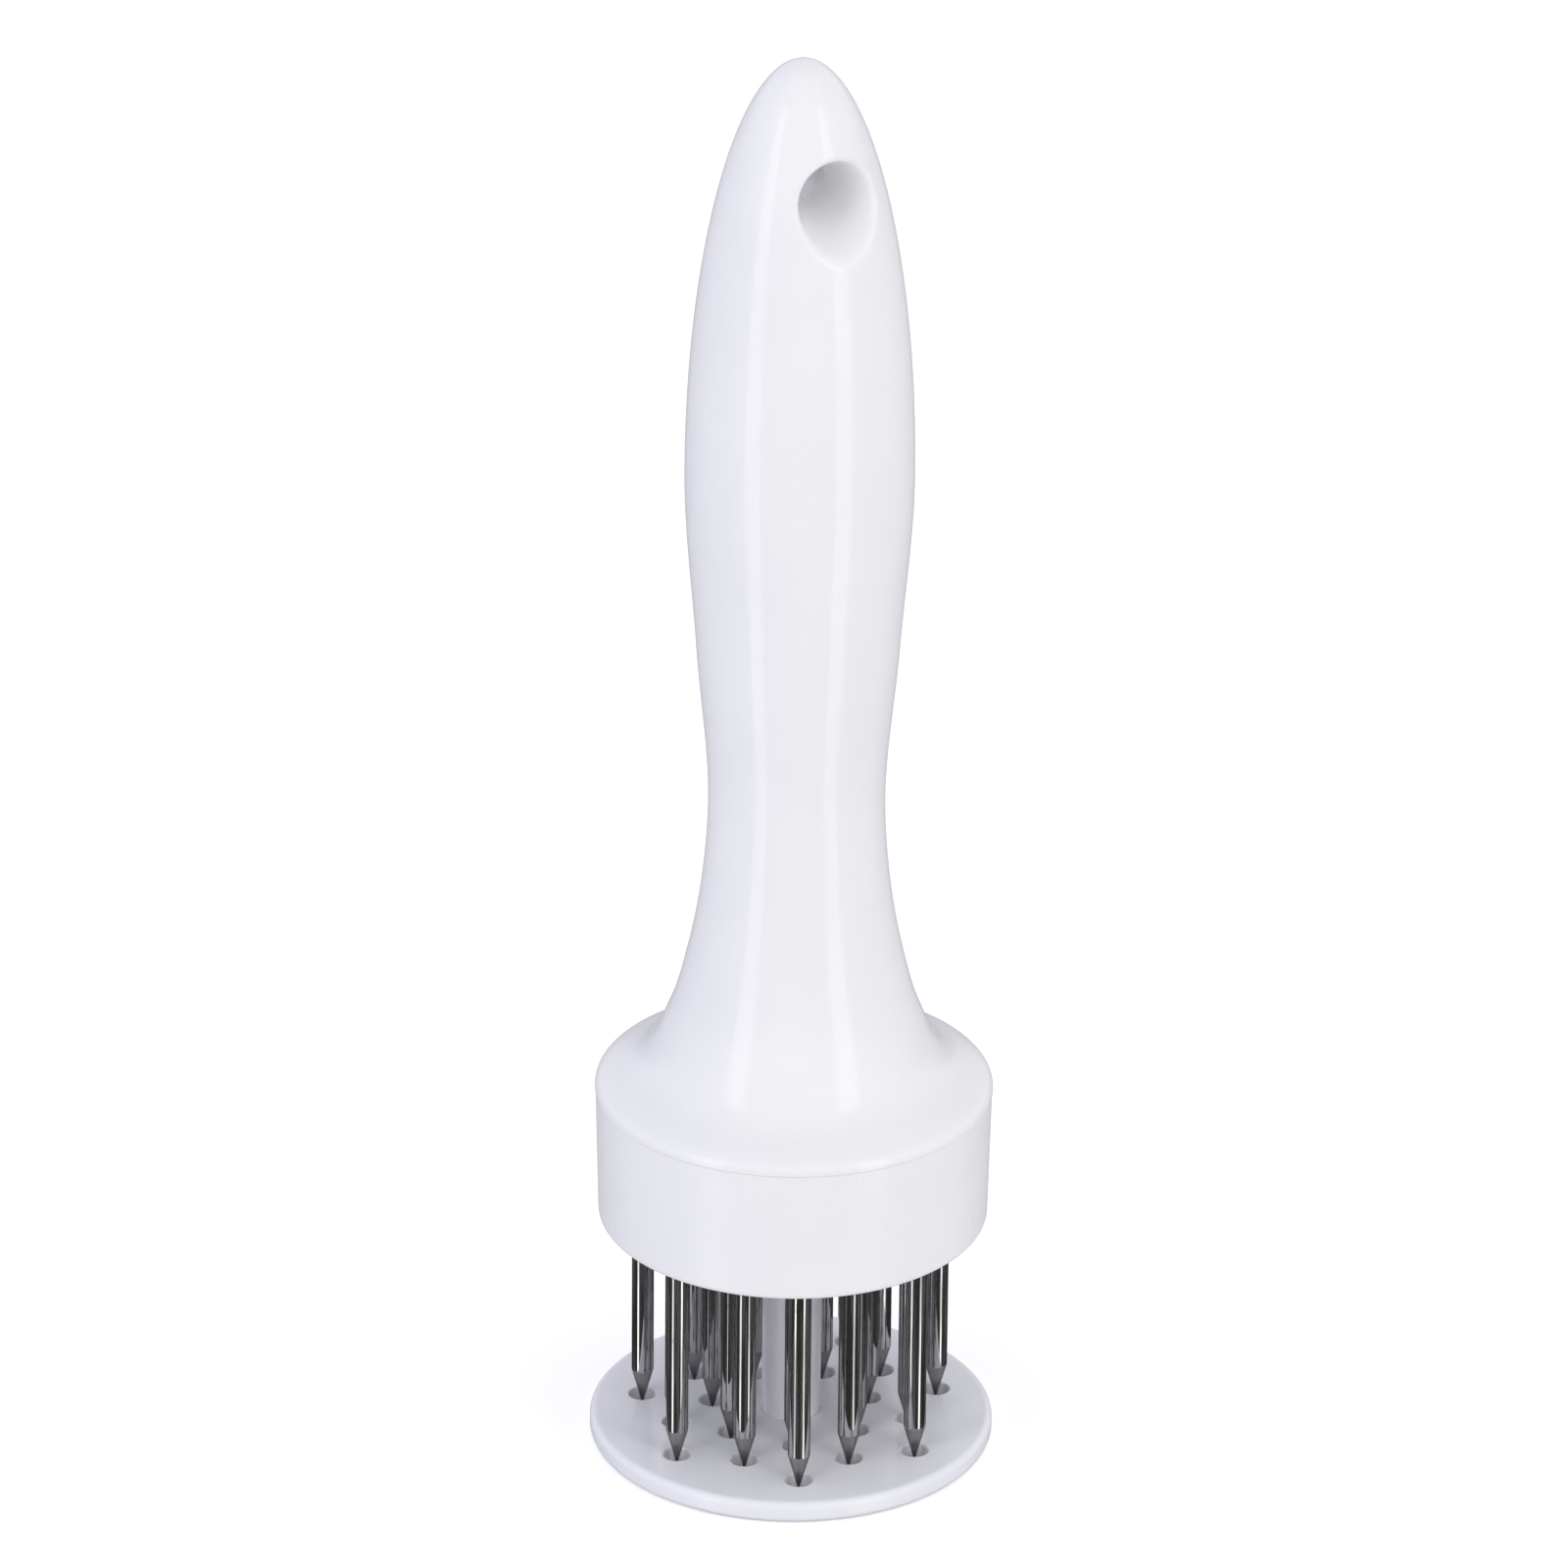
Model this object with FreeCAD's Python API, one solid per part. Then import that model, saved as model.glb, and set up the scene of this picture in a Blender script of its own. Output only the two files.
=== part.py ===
import FreeCAD, Part
import math
import os

os.makedirs("parts", exist_ok=True)
Vector = FreeCAD.Vector

# Needle tenderizer, in millimetres: +Z up, origin at the middle of the press plate's underside,
# hanging hole along Y. The plate stands on the table and the spring holds the handle up.

# Press plate
plate_radius = 27.3
plate_thickness = 3.0
plate_rim_flat = 1.0
plate_hole_clearance = 0.35
post_recess_depth = 1.0

# Needles
needle_radius = 1.5
needle_tip_length = 5.0
needle_tip_flat_radius = 0.15
needle_tip_height = 1.9
needle_head_radius = 2.2
needle_head_thickness = 1.2
needles_per_ring = 7
outer_ring_inset = 3.3
middle_ring_inset = 4.9
inner_ring_gap = 4.8

# Needle carrier
open_height = 30.2
band_height = 18.8
band_bottom_radius = 26.2
band_draft = 0.4
band_bottom_rounding = 0.8
band_top_chamfer = 0.25
band_wall = 2.4
floor_thickness = 7.0
backing_plate_thickness = 2.0

# Handle outline, heights measured from the joint with the band
rim_overhang = 0.1
rim_wall_height = 0.2
rim_lip_rounding = 1.6
rim_lip_angle = 60.0
shoulder_radius = 20.9
shoulder_height = 4.2
flare_radius = 16.95
flare_height = 11.4
root_radius = 14.3
root_height = 20.8
neck_radius = 11.8
neck_height = 40.2
belly_radius = 15.1
belly_height = 89.8
handle_height = 148.0

# Hanging hole, an hourglass with a short straight land in its middle
hole_waist_radius = 2.9
hole_land_length = 1.0
hole_flare_rounding = 28.0
hole_flare_start_angle = 8.0
hole_flare_end_angle = 60.0
hole_drop = 16.4
hole_edge_rounding = 0.8

# Guide post, bush and stop collar
post_radius = 4.0
post_running_clearance = 0.06
spigot_radius = 2.5
bush_radius = 6.0
bush_flange_thickness = 1.5
collar_thickness = 3.0
rest_gap = 0.3

# Return spring and its bore
bore_radius = 8.4
spring_length = 79.4
spring_wire_radius = 0.5
spring_turns = 16
spring_seat_thickness = 1.5
spring_seat_hole_radius = 3.0

# Screws
carrier_screw_radius = 1.25
carrier_screw_head_radius = 2.4
carrier_screw_head_height = 1.6
carrier_screw_recess = 2.0
carrier_screw_grip = 7.0
carrier_screw_inset = 2.7
carrier_screw_count = 3
collar_screw_radius = 1.25
collar_screw_head_radius = 3.8
collar_screw_head_height = 2.0
collar_screw_grip = 12.0
plate_screw_radius = 1.5
plate_screw_head_radius = 3.0
plate_screw_recess = 0.1
plate_screw_grip = 14.0
hex_socket_depth = 0.9
hex_share_of_radius = 0.75

# Clearances
fit_clearance = 0.05
cup_clearance = 0.1
seat_clearance = 0.05
bush_flange_clearance = 0.5
collar_clearance = 0.8
spring_seat_clearance = 0.3
coil_clearance = 1.6
cutter_overrun = 1.0

# Places worked out from the sizes
carrier_bottom = plate_thickness + open_height
floor_top = carrier_bottom + floor_thickness
backing_plate_top = floor_top + backing_plate_thickness
joint_height = carrier_bottom + band_height
band_top_radius = band_bottom_radius + band_draft
rim_radius = band_top_radius + rim_overhang
cup_radius = band_bottom_radius - band_wall
boss_radius = cup_radius - cup_clearance
carrier_screw_circle_radius = cup_radius - carrier_screw_inset
outer_ring_radius = cup_radius - outer_ring_inset
middle_ring_radius = carrier_screw_circle_radius - middle_ring_inset
inner_ring_radius = bush_radius + inner_ring_gap
bush_flange_radius = bore_radius - bush_flange_clearance
collar_radius = bore_radius - collar_clearance
spring_seat_radius = bore_radius - spring_seat_clearance
spring_mean_radius = bore_radius - coil_clearance - spring_wire_radius
bush_top = backing_plate_top + bush_flange_thickness
post_bottom = plate_thickness - post_recess_depth
collar_bottom = bush_top + rest_gap
collar_top = collar_bottom + collar_thickness
spring_top = collar_top + spring_length
bore_top = spring_top + spring_seat_thickness
handle_top = joint_height + handle_height
belly_level = joint_height + belly_height
hole_height = handle_top - hole_drop
ring_step = 360.0 / needles_per_ring
coil_start = collar_top + spring_wire_radius + seat_clearance
coil_climb = (spring_length - 2.0 * (spring_wire_radius + seat_clearance)) / spring_turns


def on_section(radius, height):
    return Vector(radius, 0, height)


def line(start, end):
    return Part.LineSegment(on_section(*start), on_section(*end)).toShape()


def arc(centre, radius, start_angle, end_angle):
    angles = (start_angle, (start_angle + end_angle) / 2.0, end_angle)
    points = [arc_point(centre, radius, angle) for angle in angles]
    return Part.Arc(*[on_section(*point) for point in points]).toShape()


def arc_point(centre, radius, angle):
    turn = math.radians(angle)
    return (centre[0] + radius * math.cos(turn), centre[1] + radius * math.sin(turn))


def revolve(edges):
    face = Part.Face(Part.Wire(edges))
    return face.revolve(Vector(0, 0, 0), Vector(0, 0, 1), 360)


def turned(points):
    closed = points + points[:1]
    return revolve([line(start, end) for start, end in zip(closed, closed[1:])])


def rod(radius, bottom, top, x=0.0, y=0.0):
    return Part.makeCylinder(radius, top - bottom, Vector(x, y, bottom))


def place_on_ring(radius, step, offset):
    turn = math.radians(-90.0 + (step + offset) * ring_step)
    return radius * math.cos(turn), radius * math.sin(turn)


def ring_places(radius, offset):
    return [place_on_ring(radius, step, offset) for step in range(needles_per_ring)]


# The middle ring has a needle straight under the hanging hole, the other two lie half a step on
def needle_rings():
    return {
        "outer": ring_places(outer_ring_radius, 0.5),
        "middle": ring_places(middle_ring_radius, 0.0),
        "inner": ring_places(inner_ring_radius, 0.5),
    }


def needle_places():
    return [place for ring in needle_rings().values() for place in ring]


# The screws stand midway between outer needles, as evenly as the needles allow
def carrier_screw_spots():
    spacing = needles_per_ring / carrier_screw_count
    steps = [round(spacing * screw) for screw in range(carrier_screw_count)]
    return [place_on_ring(carrier_screw_circle_radius, step, 0.0) for step in steps]


def hex_socket(radius, bottom, top, x=0.0, y=0.0):
    corners = [Vector(*arc_point((x, y), radius, 60.0 * corner), bottom) for corner in range(7)]
    return Part.Face(Part.makePolygon(corners)).extrude(Vector(0, 0, top - bottom))


# Smooth path through points: each stretch is a cubic whose ends follow the shared directions
def smooth_path(points, first_direction, last_direction):
    steps = [end - start for start, end in zip(points, points[1:])]
    directions = [first_direction]
    for before, after in zip(steps, steps[1:]):
        ratio = after.Length / before.Length
        directions.append((before * ratio + after * (1.0 / ratio)).normalize())
    directions.append(last_direction)
    edges = []
    for i, step in enumerate(steps):
        reach = step.Length / 3.0
        stretch = Part.BezierCurve()
        leave = points[i] + directions[i] * reach
        arrive = points[i + 1] - directions[i + 1] * reach
        stretch.setPoles([points[i], leave, arrive, points[i + 1]])
        edges.append(stretch.toShape())
    return edges


# Outer line of the handle from the joint up to the apex: rim, sweep to the belly, quarter ellipse
def handle_outline():
    wall_top = (rim_radius, joint_height + rim_wall_height)
    lip_centre = (rim_radius - rim_lip_rounding, wall_top[1])
    lip_end = arc_point(lip_centre, rim_lip_rounding, rim_lip_angle)
    lip_turn = math.radians(rim_lip_angle)
    sweep_points = [
        lip_end,
        (shoulder_radius, joint_height + shoulder_height),
        (flare_radius, joint_height + flare_height),
        (root_radius, joint_height + root_height),
        (neck_radius, joint_height + neck_height),
        ((neck_radius + belly_radius) / 2.0, joint_height + (neck_height + belly_height) / 2.0),
        (belly_radius, belly_level),
    ]
    sweep = smooth_path(
        [on_section(*point) for point in sweep_points],
        on_section(-math.sin(lip_turn), math.cos(lip_turn)),
        on_section(0.0, 1.0),
    )
    dome_poles = [(belly_radius, belly_level), (belly_radius, handle_top), (0.0, handle_top)]
    dome = Part.BezierCurve()
    dome.setPoles([on_section(*pole) for pole in dome_poles])
    dome.setWeight(2, math.sqrt(0.5))
    lip = [line((rim_radius, joint_height), wall_top), arc(lip_centre, rim_lip_rounding, 0.0, rim_lip_angle)]
    return lip + sweep + [dome.toShape()]


# Hourglass cutter along Y: a straight land with a crisp end, then an arc that opens towards each mouth
def hanging_hole_cutter():
    half_land = hole_land_length / 2.0
    start_turn = math.radians(hole_flare_start_angle)
    centre_x = hole_waist_radius + hole_flare_rounding * math.cos(start_turn)
    centre = (centre_x, half_land - hole_flare_rounding * math.sin(start_turn))
    first_angle = 180.0 - hole_flare_start_angle
    last_angle = 180.0 - hole_flare_end_angle
    flare_end = arc_point(centre, hole_flare_rounding, last_angle)
    far_end = flare_end[1] + cutter_overrun
    edges = [
        line((0.0, 0.0), (hole_waist_radius, 0.0)),
        line((hole_waist_radius, 0.0), (hole_waist_radius, half_land)),
        arc(centre, hole_flare_rounding, first_angle, last_angle),
        line(flare_end, (flare_end[0], far_end)),
        line((flare_end[0], far_end), (0.0, far_end)),
        line((0.0, far_end), (0.0, 0.0)),
    ]
    half = revolve(edges)
    other_half = half.mirror(Vector(0, 0, 0), Vector(0, 0, 1))
    cutter = half.fuse(other_half).removeSplitter()
    cutter.rotate(Vector(0, 0, 0), Vector(1, 0, 0), 90)
    cutter.translate(Vector(0, 0, hole_height))
    return cutter


# The mouth edges are the only edges of the handle that lie off the axis near the hole and outside its land
def round_mouth_edges(shape):
    mouth_edges = []
    for edge in shape.Edges:
        box = edge.BoundBox
        near_hole = box.ZMin > hole_height - hole_drop and box.ZMax < handle_top - seat_clearance
        outside_land = box.YMin > hole_land_length or box.YMax < -hole_land_length
        if near_hole and outside_land:
            mouth_edges.append(edge)
    return shape.makeFillet(hole_edge_rounding, mouth_edges)


def make_handle():
    start = (boss_radius, backing_plate_top)
    corner = (boss_radius, joint_height)
    edges = [
        line((0.0, backing_plate_top), start),
        line(start, corner),
        line(corner, (rim_radius, joint_height)),
    ]
    edges += handle_outline()
    edges.append(line((0.0, handle_top), (0.0, backing_plate_top)))
    body = round_mouth_edges(revolve(edges).cut(hanging_hole_cutter()))
    below = backing_plate_top - cutter_overrun
    screw_end = backing_plate_top + carrier_screw_grip + seat_clearance
    screw_hole_radius = carrier_screw_radius + fit_clearance
    cutters = [rod(bore_radius, below, bore_top)]
    for x, y in carrier_screw_spots():
        cutters.append(rod(screw_hole_radius, below, screw_end, x, y))
    return body.cut(cutters)


# The band and its floor, with a seat for each needle head, the bush and the three screws
def make_needle_carrier():
    round_centre = (band_bottom_radius - band_bottom_rounding, carrier_bottom + band_bottom_rounding)
    outer_bottom = (round_centre[0], carrier_bottom)
    side_bottom = (band_bottom_radius, round_centre[1])
    side_top = (band_top_radius, joint_height - band_top_chamfer)
    rim_outer = (band_top_radius - band_top_chamfer, joint_height)
    rim_inner = (cup_radius, joint_height)
    cup_corner = (cup_radius, floor_top)
    edges = [
        line((0.0, carrier_bottom), outer_bottom),
        arc(round_centre, band_bottom_rounding, -90.0, 0.0),
        line(side_bottom, side_top),
        line(side_top, rim_outer),
        line(rim_outer, rim_inner),
        line(rim_inner, cup_corner),
        line(cup_corner, (0.0, floor_top)),
        line((0.0, floor_top), (0.0, carrier_bottom)),
    ]
    below = carrier_bottom - cutter_overrun
    above = floor_top + cutter_overrun
    needle_seat = floor_top - needle_head_thickness
    recess_top = carrier_bottom + carrier_screw_recess
    cutters = [rod(bush_radius + fit_clearance, below, above)]
    for x, y in needle_places():
        cutters.append(rod(needle_radius + fit_clearance, below, above, x, y))
        cutters.append(rod(needle_head_radius + cup_clearance, needle_seat, above, x, y))
    for x, y in carrier_screw_spots():
        cutters.append(rod(carrier_screw_radius + cup_clearance, below, above, x, y))
        cutters.append(rod(carrier_screw_head_radius + cup_clearance, below, recess_top, x, y))
    return revolve(edges).cut(cutters)


def make_backing_plate():
    disc = rod(boss_radius, floor_top, backing_plate_top)
    below = floor_top - cutter_overrun
    above = backing_plate_top + cutter_overrun
    cutters = [rod(bush_radius + fit_clearance, below, above)]
    for x, y in carrier_screw_spots():
        cutters.append(rod(carrier_screw_radius + cup_clearance, below, above, x, y))
    return disc.cut(cutters)


def make_needle(x, y):
    cone_top = needle_tip_height + needle_tip_length
    head_bottom = floor_top - needle_head_thickness
    needle = turned([
        (0.0, needle_tip_height),
        (needle_tip_flat_radius, needle_tip_height),
        (needle_radius, cone_top),
        (needle_radius, head_bottom),
        (needle_head_radius, head_bottom),
        (needle_head_radius, floor_top),
        (0.0, floor_top),
    ])
    needle.translate(Vector(x, y, 0))
    return needle


# Three pan-head screws: the heads sit in the recesses of the carrier's underside
def make_carrier_screws():
    seat = carrier_bottom + carrier_screw_recess
    head_bottom = seat - carrier_screw_head_height
    screws = []
    for x, y in carrier_screw_spots():
        head = rod(carrier_screw_head_radius, head_bottom, seat, x, y)
        shank = rod(carrier_screw_radius, seat, backing_plate_top + carrier_screw_grip, x, y)
        socket_radius = carrier_screw_radius * hex_share_of_radius
        socket = hex_socket(socket_radius, head_bottom, head_bottom + hex_socket_depth, x, y)
        screws.append(head.fuse(shank).cut(socket).removeSplitter())
    return Part.makeCompound(screws)


def make_guide_bush():
    inner = post_radius + post_running_clearance
    return turned([
        (inner, carrier_bottom),
        (bush_radius, carrier_bottom),
        (bush_radius, backing_plate_top),
        (bush_flange_radius, backing_plate_top),
        (bush_flange_radius, bush_top),
        (inner, bush_top),
    ])


def make_press_plate():
    rounding = (plate_thickness - plate_rim_flat) / 2.0
    inner = plate_radius - rounding
    low = (inner, rounding)
    high = (inner, plate_thickness - rounding)
    edges = [
        line((0.0, 0.0), (inner, 0.0)),
        arc(low, rounding, -90.0, 0.0),
        line((plate_radius, low[1]), (plate_radius, high[1])),
        arc(high, rounding, 0.0, 90.0),
        line((inner, plate_thickness), (0.0, plate_thickness)),
        line((0.0, plate_thickness), (0.0, 0.0)),
    ]
    above = plate_thickness + cutter_overrun
    cutters = [
        rod(post_radius + fit_clearance, post_bottom, above),
        rod(plate_screw_radius + cup_clearance, -cutter_overrun, above),
        countersink_cutter(),
    ]
    for x, y in needle_places():
        cutters.append(rod(needle_radius + plate_hole_clearance, -cutter_overrun, above, x, y))
    return revolve(edges).cut(cutters)


# Cone of 45 degrees, wide end down, a little larger than the screw head
def countersink_cutter():
    wide = plate_screw_head_radius + plate_screw_recess + cup_clearance
    narrow = plate_screw_radius + cup_clearance
    return Part.makeCone(wide, narrow, wide - narrow, Vector(0, 0, 0))


def make_plate_screw():
    cone_height = plate_screw_head_radius - plate_screw_radius
    cone_top = plate_screw_recess + cone_height
    screw = turned([
        (0.0, plate_screw_recess),
        (plate_screw_head_radius, plate_screw_recess),
        (plate_screw_radius, cone_top),
        (plate_screw_radius, post_bottom + plate_screw_grip),
        (0.0, post_bottom + plate_screw_grip),
    ])
    socket_top = plate_screw_recess + hex_socket_depth
    return screw.cut(hex_socket(plate_screw_radius * hex_share_of_radius, plate_screw_recess, socket_top))


def make_guide_post():
    post = turned([
        (0.0, post_bottom),
        (post_radius, post_bottom),
        (post_radius, collar_bottom),
        (spigot_radius, collar_bottom),
        (spigot_radius, collar_top),
        (0.0, collar_top),
    ])
    lower = rod(plate_screw_radius + fit_clearance, post_bottom - cutter_overrun,
                post_bottom + plate_screw_grip + seat_clearance)
    upper = rod(collar_screw_radius + fit_clearance, collar_top - collar_screw_grip - seat_clearance,
                collar_top + cutter_overrun)
    return post.cut([lower, upper])


def make_stop_collar():
    return turned([
        (spigot_radius + fit_clearance, collar_bottom),
        (collar_radius, collar_bottom),
        (collar_radius, collar_top),
        (spigot_radius + fit_clearance, collar_top),
    ])


def make_collar_screw():
    head_top = collar_top + collar_screw_head_height
    head = rod(collar_screw_head_radius, collar_top, head_top)
    shank = rod(collar_screw_radius, collar_top - collar_screw_grip, collar_top)
    socket = hex_socket(collar_screw_radius * hex_share_of_radius, head_top - hex_socket_depth, head_top)
    return head.fuse(shank).cut(socket).removeSplitter()


def make_spring_seat():
    return turned([
        (spring_seat_hole_radius, spring_top),
        (spring_seat_radius, spring_top),
        (spring_seat_radius, bore_top),
        (spring_seat_hole_radius, bore_top),
    ])


# A place on the coil's centre line, counted in turns from its lower end, and the line's direction there
def helix_point(turn):
    x, y = arc_point((0.0, 0.0), spring_mean_radius, 360.0 * turn)
    return Vector(x, y, coil_start + coil_climb * turn)


def helix_tangent(turn):
    x, y = arc_point((0.0, 0.0), spring_mean_radius, 360.0 * turn + 90.0)
    return Vector(x, y, coil_climb / (2.0 * math.pi)).normalize()


# Arc that leaves a point along a tangent and ends at another point
def tangent_arc(start, tangent, end):
    chord = end - start
    lean = chord.dot(tangent) / chord.Length
    sideways = chord - tangent * chord.dot(tangent)
    sideways.normalize()
    half_turn = math.acos(lean)
    radius = chord.Length / (2.0 * math.sin(half_turn))
    along = radius * math.sin(half_turn)
    middle = start + tangent * along + sideways * (radius - radius * math.cos(half_turn))
    return Part.Arc(start, middle, end).toShape()


# One quarter turn of the coil as two arcs that share a tangent
def coil_quarter(first, last):
    start, end = helix_point(first), helix_point(last)
    leave, arrive = helix_tangent(first), helix_tangent(last)
    chord = end - start
    both = leave + arrive
    spread = 2.0 * (1.0 - leave.dot(arrive))
    reach = (-chord.dot(both) + math.sqrt(chord.dot(both) ** 2 + spread * chord.dot(chord))) / spread
    joint = (start + leave * reach + end - arrive * reach) * 0.5
    second_leave = (end - arrive * reach - joint).normalize()
    return [tangent_arc(start, leave, joint), tangent_arc(joint, second_leave, end)]


# Least space between one turn and the next, from points along the centre line at least half a turn apart
def least_coil_gap():
    steps_per_turn = 24
    points = [helix_point(i / steps_per_turn) for i in range(spring_turns * steps_per_turn + 1)]
    distances = []
    for i, point in enumerate(points):
        for other in points[i + steps_per_turn // 2:]:
            distances.append((other - point).Length)
    return min(distances) - 2.0 * spring_wire_radius


def make_return_spring():
    edges = []
    for quarter in range(4 * spring_turns):
        edges += coil_quarter(quarter / 4.0, (quarter + 1) / 4.0)
    path = Part.Wire(edges)
    section = Part.Wire([Part.Circle(helix_point(0.0), helix_tangent(0.0), spring_wire_radius).toShape()])
    spring = path.makePipeShell([section], True, False)
    print("return spring: least gap between turns %.2f mm" % least_coil_gap())
    return spring


def all_parts():
    parts = {
        "handle": make_handle(),
        "needle_carrier": make_needle_carrier(),
        "needle_backing_plate": make_backing_plate(),
        "carrier_screws": make_carrier_screws(),
        "guide_bush": make_guide_bush(),
        "spring_seat": make_spring_seat(),
        "return_spring": make_return_spring(),
        "press_plate": make_press_plate(),
        "plate_screw": make_plate_screw(),
        "guide_post": make_guide_post(),
        "stop_collar": make_stop_collar(),
        "collar_screw": make_collar_screw(),
    }
    for ring, places in needle_rings().items():
        for number, (x, y) in enumerate(places, start=1):
            parts["needle_%s_%d" % (ring, number)] = make_needle(x, y)
    return parts


for node, shape in all_parts().items():
    shape.exportStep("parts/%s.step" % node)
    print("%s: %d solid, %.1f mm3, valid %s" % (node, len(shape.Solids), shape.Volume, shape.isValid()))
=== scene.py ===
import math

import bmesh
import bpy
from mathutils import Matrix, Vector
from mathutils.geometry import interpolate_bezier


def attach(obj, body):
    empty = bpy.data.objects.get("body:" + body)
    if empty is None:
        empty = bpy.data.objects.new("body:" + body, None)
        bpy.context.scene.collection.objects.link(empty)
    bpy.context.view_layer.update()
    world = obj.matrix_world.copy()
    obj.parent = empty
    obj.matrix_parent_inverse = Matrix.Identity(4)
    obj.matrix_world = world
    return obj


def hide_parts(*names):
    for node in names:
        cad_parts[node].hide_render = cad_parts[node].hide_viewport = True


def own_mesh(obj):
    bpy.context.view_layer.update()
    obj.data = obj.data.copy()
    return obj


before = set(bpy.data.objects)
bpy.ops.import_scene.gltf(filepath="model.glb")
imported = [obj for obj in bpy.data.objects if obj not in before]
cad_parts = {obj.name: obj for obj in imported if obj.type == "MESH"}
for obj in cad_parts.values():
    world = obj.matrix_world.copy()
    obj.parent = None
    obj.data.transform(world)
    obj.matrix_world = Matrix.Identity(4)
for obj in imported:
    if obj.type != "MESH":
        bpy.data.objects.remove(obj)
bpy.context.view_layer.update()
print("frame loaded:", len(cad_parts), "nodes")

# Lengths in the dictionaries are millimetres; a piece is scaled to metres when it is done.
metresPerUnit = 0.001
mergeDistance = 0.002
levelTolerance = 0.01

# Shader maths is written as expressions of signals.


class Signal:                                  # one output socket that can be used in an expression
    def __init__(self, finish, socket):
        self.finish, self.socket = finish, socket

    def maths(self, operation, first, second):
        return self.finish.add("Math", {"operation": operation}, {0: first, 1: second})

    def __add__(self, other):
        return self.maths("ADD", self, other)

    def __rsub__(self, other):
        return self.maths("SUBTRACT", other, self)

    def __mul__(self, other):
        return self.maths("MULTIPLY", self, other)

    def most(self, other):
        return self.maths("MAXIMUM", self, other)

    def between(self, low, high):              # 0 below low, 1 above high, smooth in between
        inputs = {"Value": self, "From Min": low, "From Max": high}
        return self.finish.add("MapRange", {"interpolation_type": "SMOOTHSTEP"}, inputs)


class Finish:                                  # a material or a world, and the nodes in it
    def __init__(self, owner):
        owner.use_nodes = True
        self.owner = owner
        self.tree = owner.node_tree
        self.tree.nodes.clear()

    def add(self, kind, settings=None, inputs=None, output=0):
        node = self.tree.nodes.new("ShaderNode" + kind)
        for key, value in (settings or {}).items():
            setattr(node, key, value)
        for key, value in (inputs or {}).items():
            if isinstance(value, Signal):
                self.tree.links.new(value.socket, node.inputs[key])
            else:
                node.inputs[key].default_value = value
        return Signal(self, node.outputs[output]) if node.outputs else None

    def place(self, stretch):
        where = self.add("TexCoord", output="Object")
        return self.add("Mapping", inputs={"Vector": where, "Scale": stretch})

    def noise(self, scale, detail=2.0, roughness=0.5, stretch=(1, 1, 1)):
        inputs = {"Vector": self.place(stretch), "Scale": scale, "Detail": detail, "Roughness": roughness}
        return self.add("TexNoise", inputs=inputs)

    def height(self):                          # height above the press face in millimetres
        where = self.add("TexCoord", output="Object")
        return self.add("SeparateXYZ", inputs={"Vector": where}, output="Z") * (1.0 / metresPerUnit)

    def blend(self, share, first, second):     # 6, 7 and 2 are the Mix node's colour sockets
        inputs = {"Factor": share, 6: colour(first), 7: colour(second)}
        return self.add("Mix", {"data_type": "RGBA"}, inputs, output=2)

    def bump(self, height, depth=1.0):         # a height in metres needs no depth
        return self.add("Bump", inputs={"Height": height, "Strength": 1.0, "Distance": depth})

    def surface(self, inputs):
        shader = self.add("BsdfPrincipled", inputs=inputs)
        self.add("OutputMaterial", inputs={"Surface": shader})
        return self.owner


def colour(value):
    return value if isinstance(value, Signal) else (*value, 1.0)


def newFinish(name):
    return Finish(bpy.data.materials.new(name))


# Mesh helpers, in millimetres.


def section(points):
    return [Vector((radius, 0.0, height)) for radius, height in points]


def quarterRound(centre, radius, start, end, segments):
    angles = [math.radians(start + (end - start) * i / segments) for i in range(segments + 1)]
    return [(centre[0] + radius * math.cos(a), centre[1] + radius * math.sin(a)) for a in angles]


def spinOutline(bm, points, segments, at=(0.0, 0.0)):
    offset = Vector((*at, 0.0))
    verts = [bm.verts.new(point + offset) for point in section(points)]
    edges = [bm.edges.new(pair) for pair in zip(verts, verts[1:])]
    bmesh.ops.spin(
        bm, geom=verts + edges, cent=offset, axis=(0, 0, 1), angle=2 * math.pi, steps=segments, use_merge=True)
    bmesh.ops.remove_doubles(bm, verts=bm.verts[:], dist=mergeDistance)


def rimAt(bm, level):                          # open edges that lie at one height
    rims = [edge for edge in bm.edges if edge.is_boundary]
    return [edge for edge in rims if all(abs(vert.co.z - level) < levelTolerance for vert in edge.verts)]


def fillLevel(bm, level):                      # flat face between an outer rim and the rims of its holes
    bmesh.ops.triangle_fill(bm, edges=rimAt(bm, level), use_beauty=True)


def sinkPocket(bm, at, radius, level, depth, sides):
    ring = bmesh.ops.create_circle(bm, segments=sides, radius=radius, matrix=Matrix.Translation((*at, level)))
    edges = list({edge for vert in ring["verts"] for edge in vert.link_edges})
    walls = bmesh.ops.extrude_edge_only(bm, edges=edges)["geom"]
    floor = [item for item in walls if isinstance(item, bmesh.types.BMVert)]
    bmesh.ops.translate(bm, verts=floor, vec=(0, 0, depth))
    bmesh.ops.contextual_create(bm, geom=rimAt(bm, level + depth))


def softenEdges(bm, offset, segments, leastAngle=25.0):
    edges = [e for e in bm.edges if e.is_manifold and e.calc_face_angle(0) > math.radians(leastAngle)]
    bmesh.ops.bevel(
        bm, geom=edges, offset=offset, segments=segments, profile=0.5, affect="EDGES", material=-1,
        offset_type="OFFSET", clamp_overlap=True)


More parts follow.
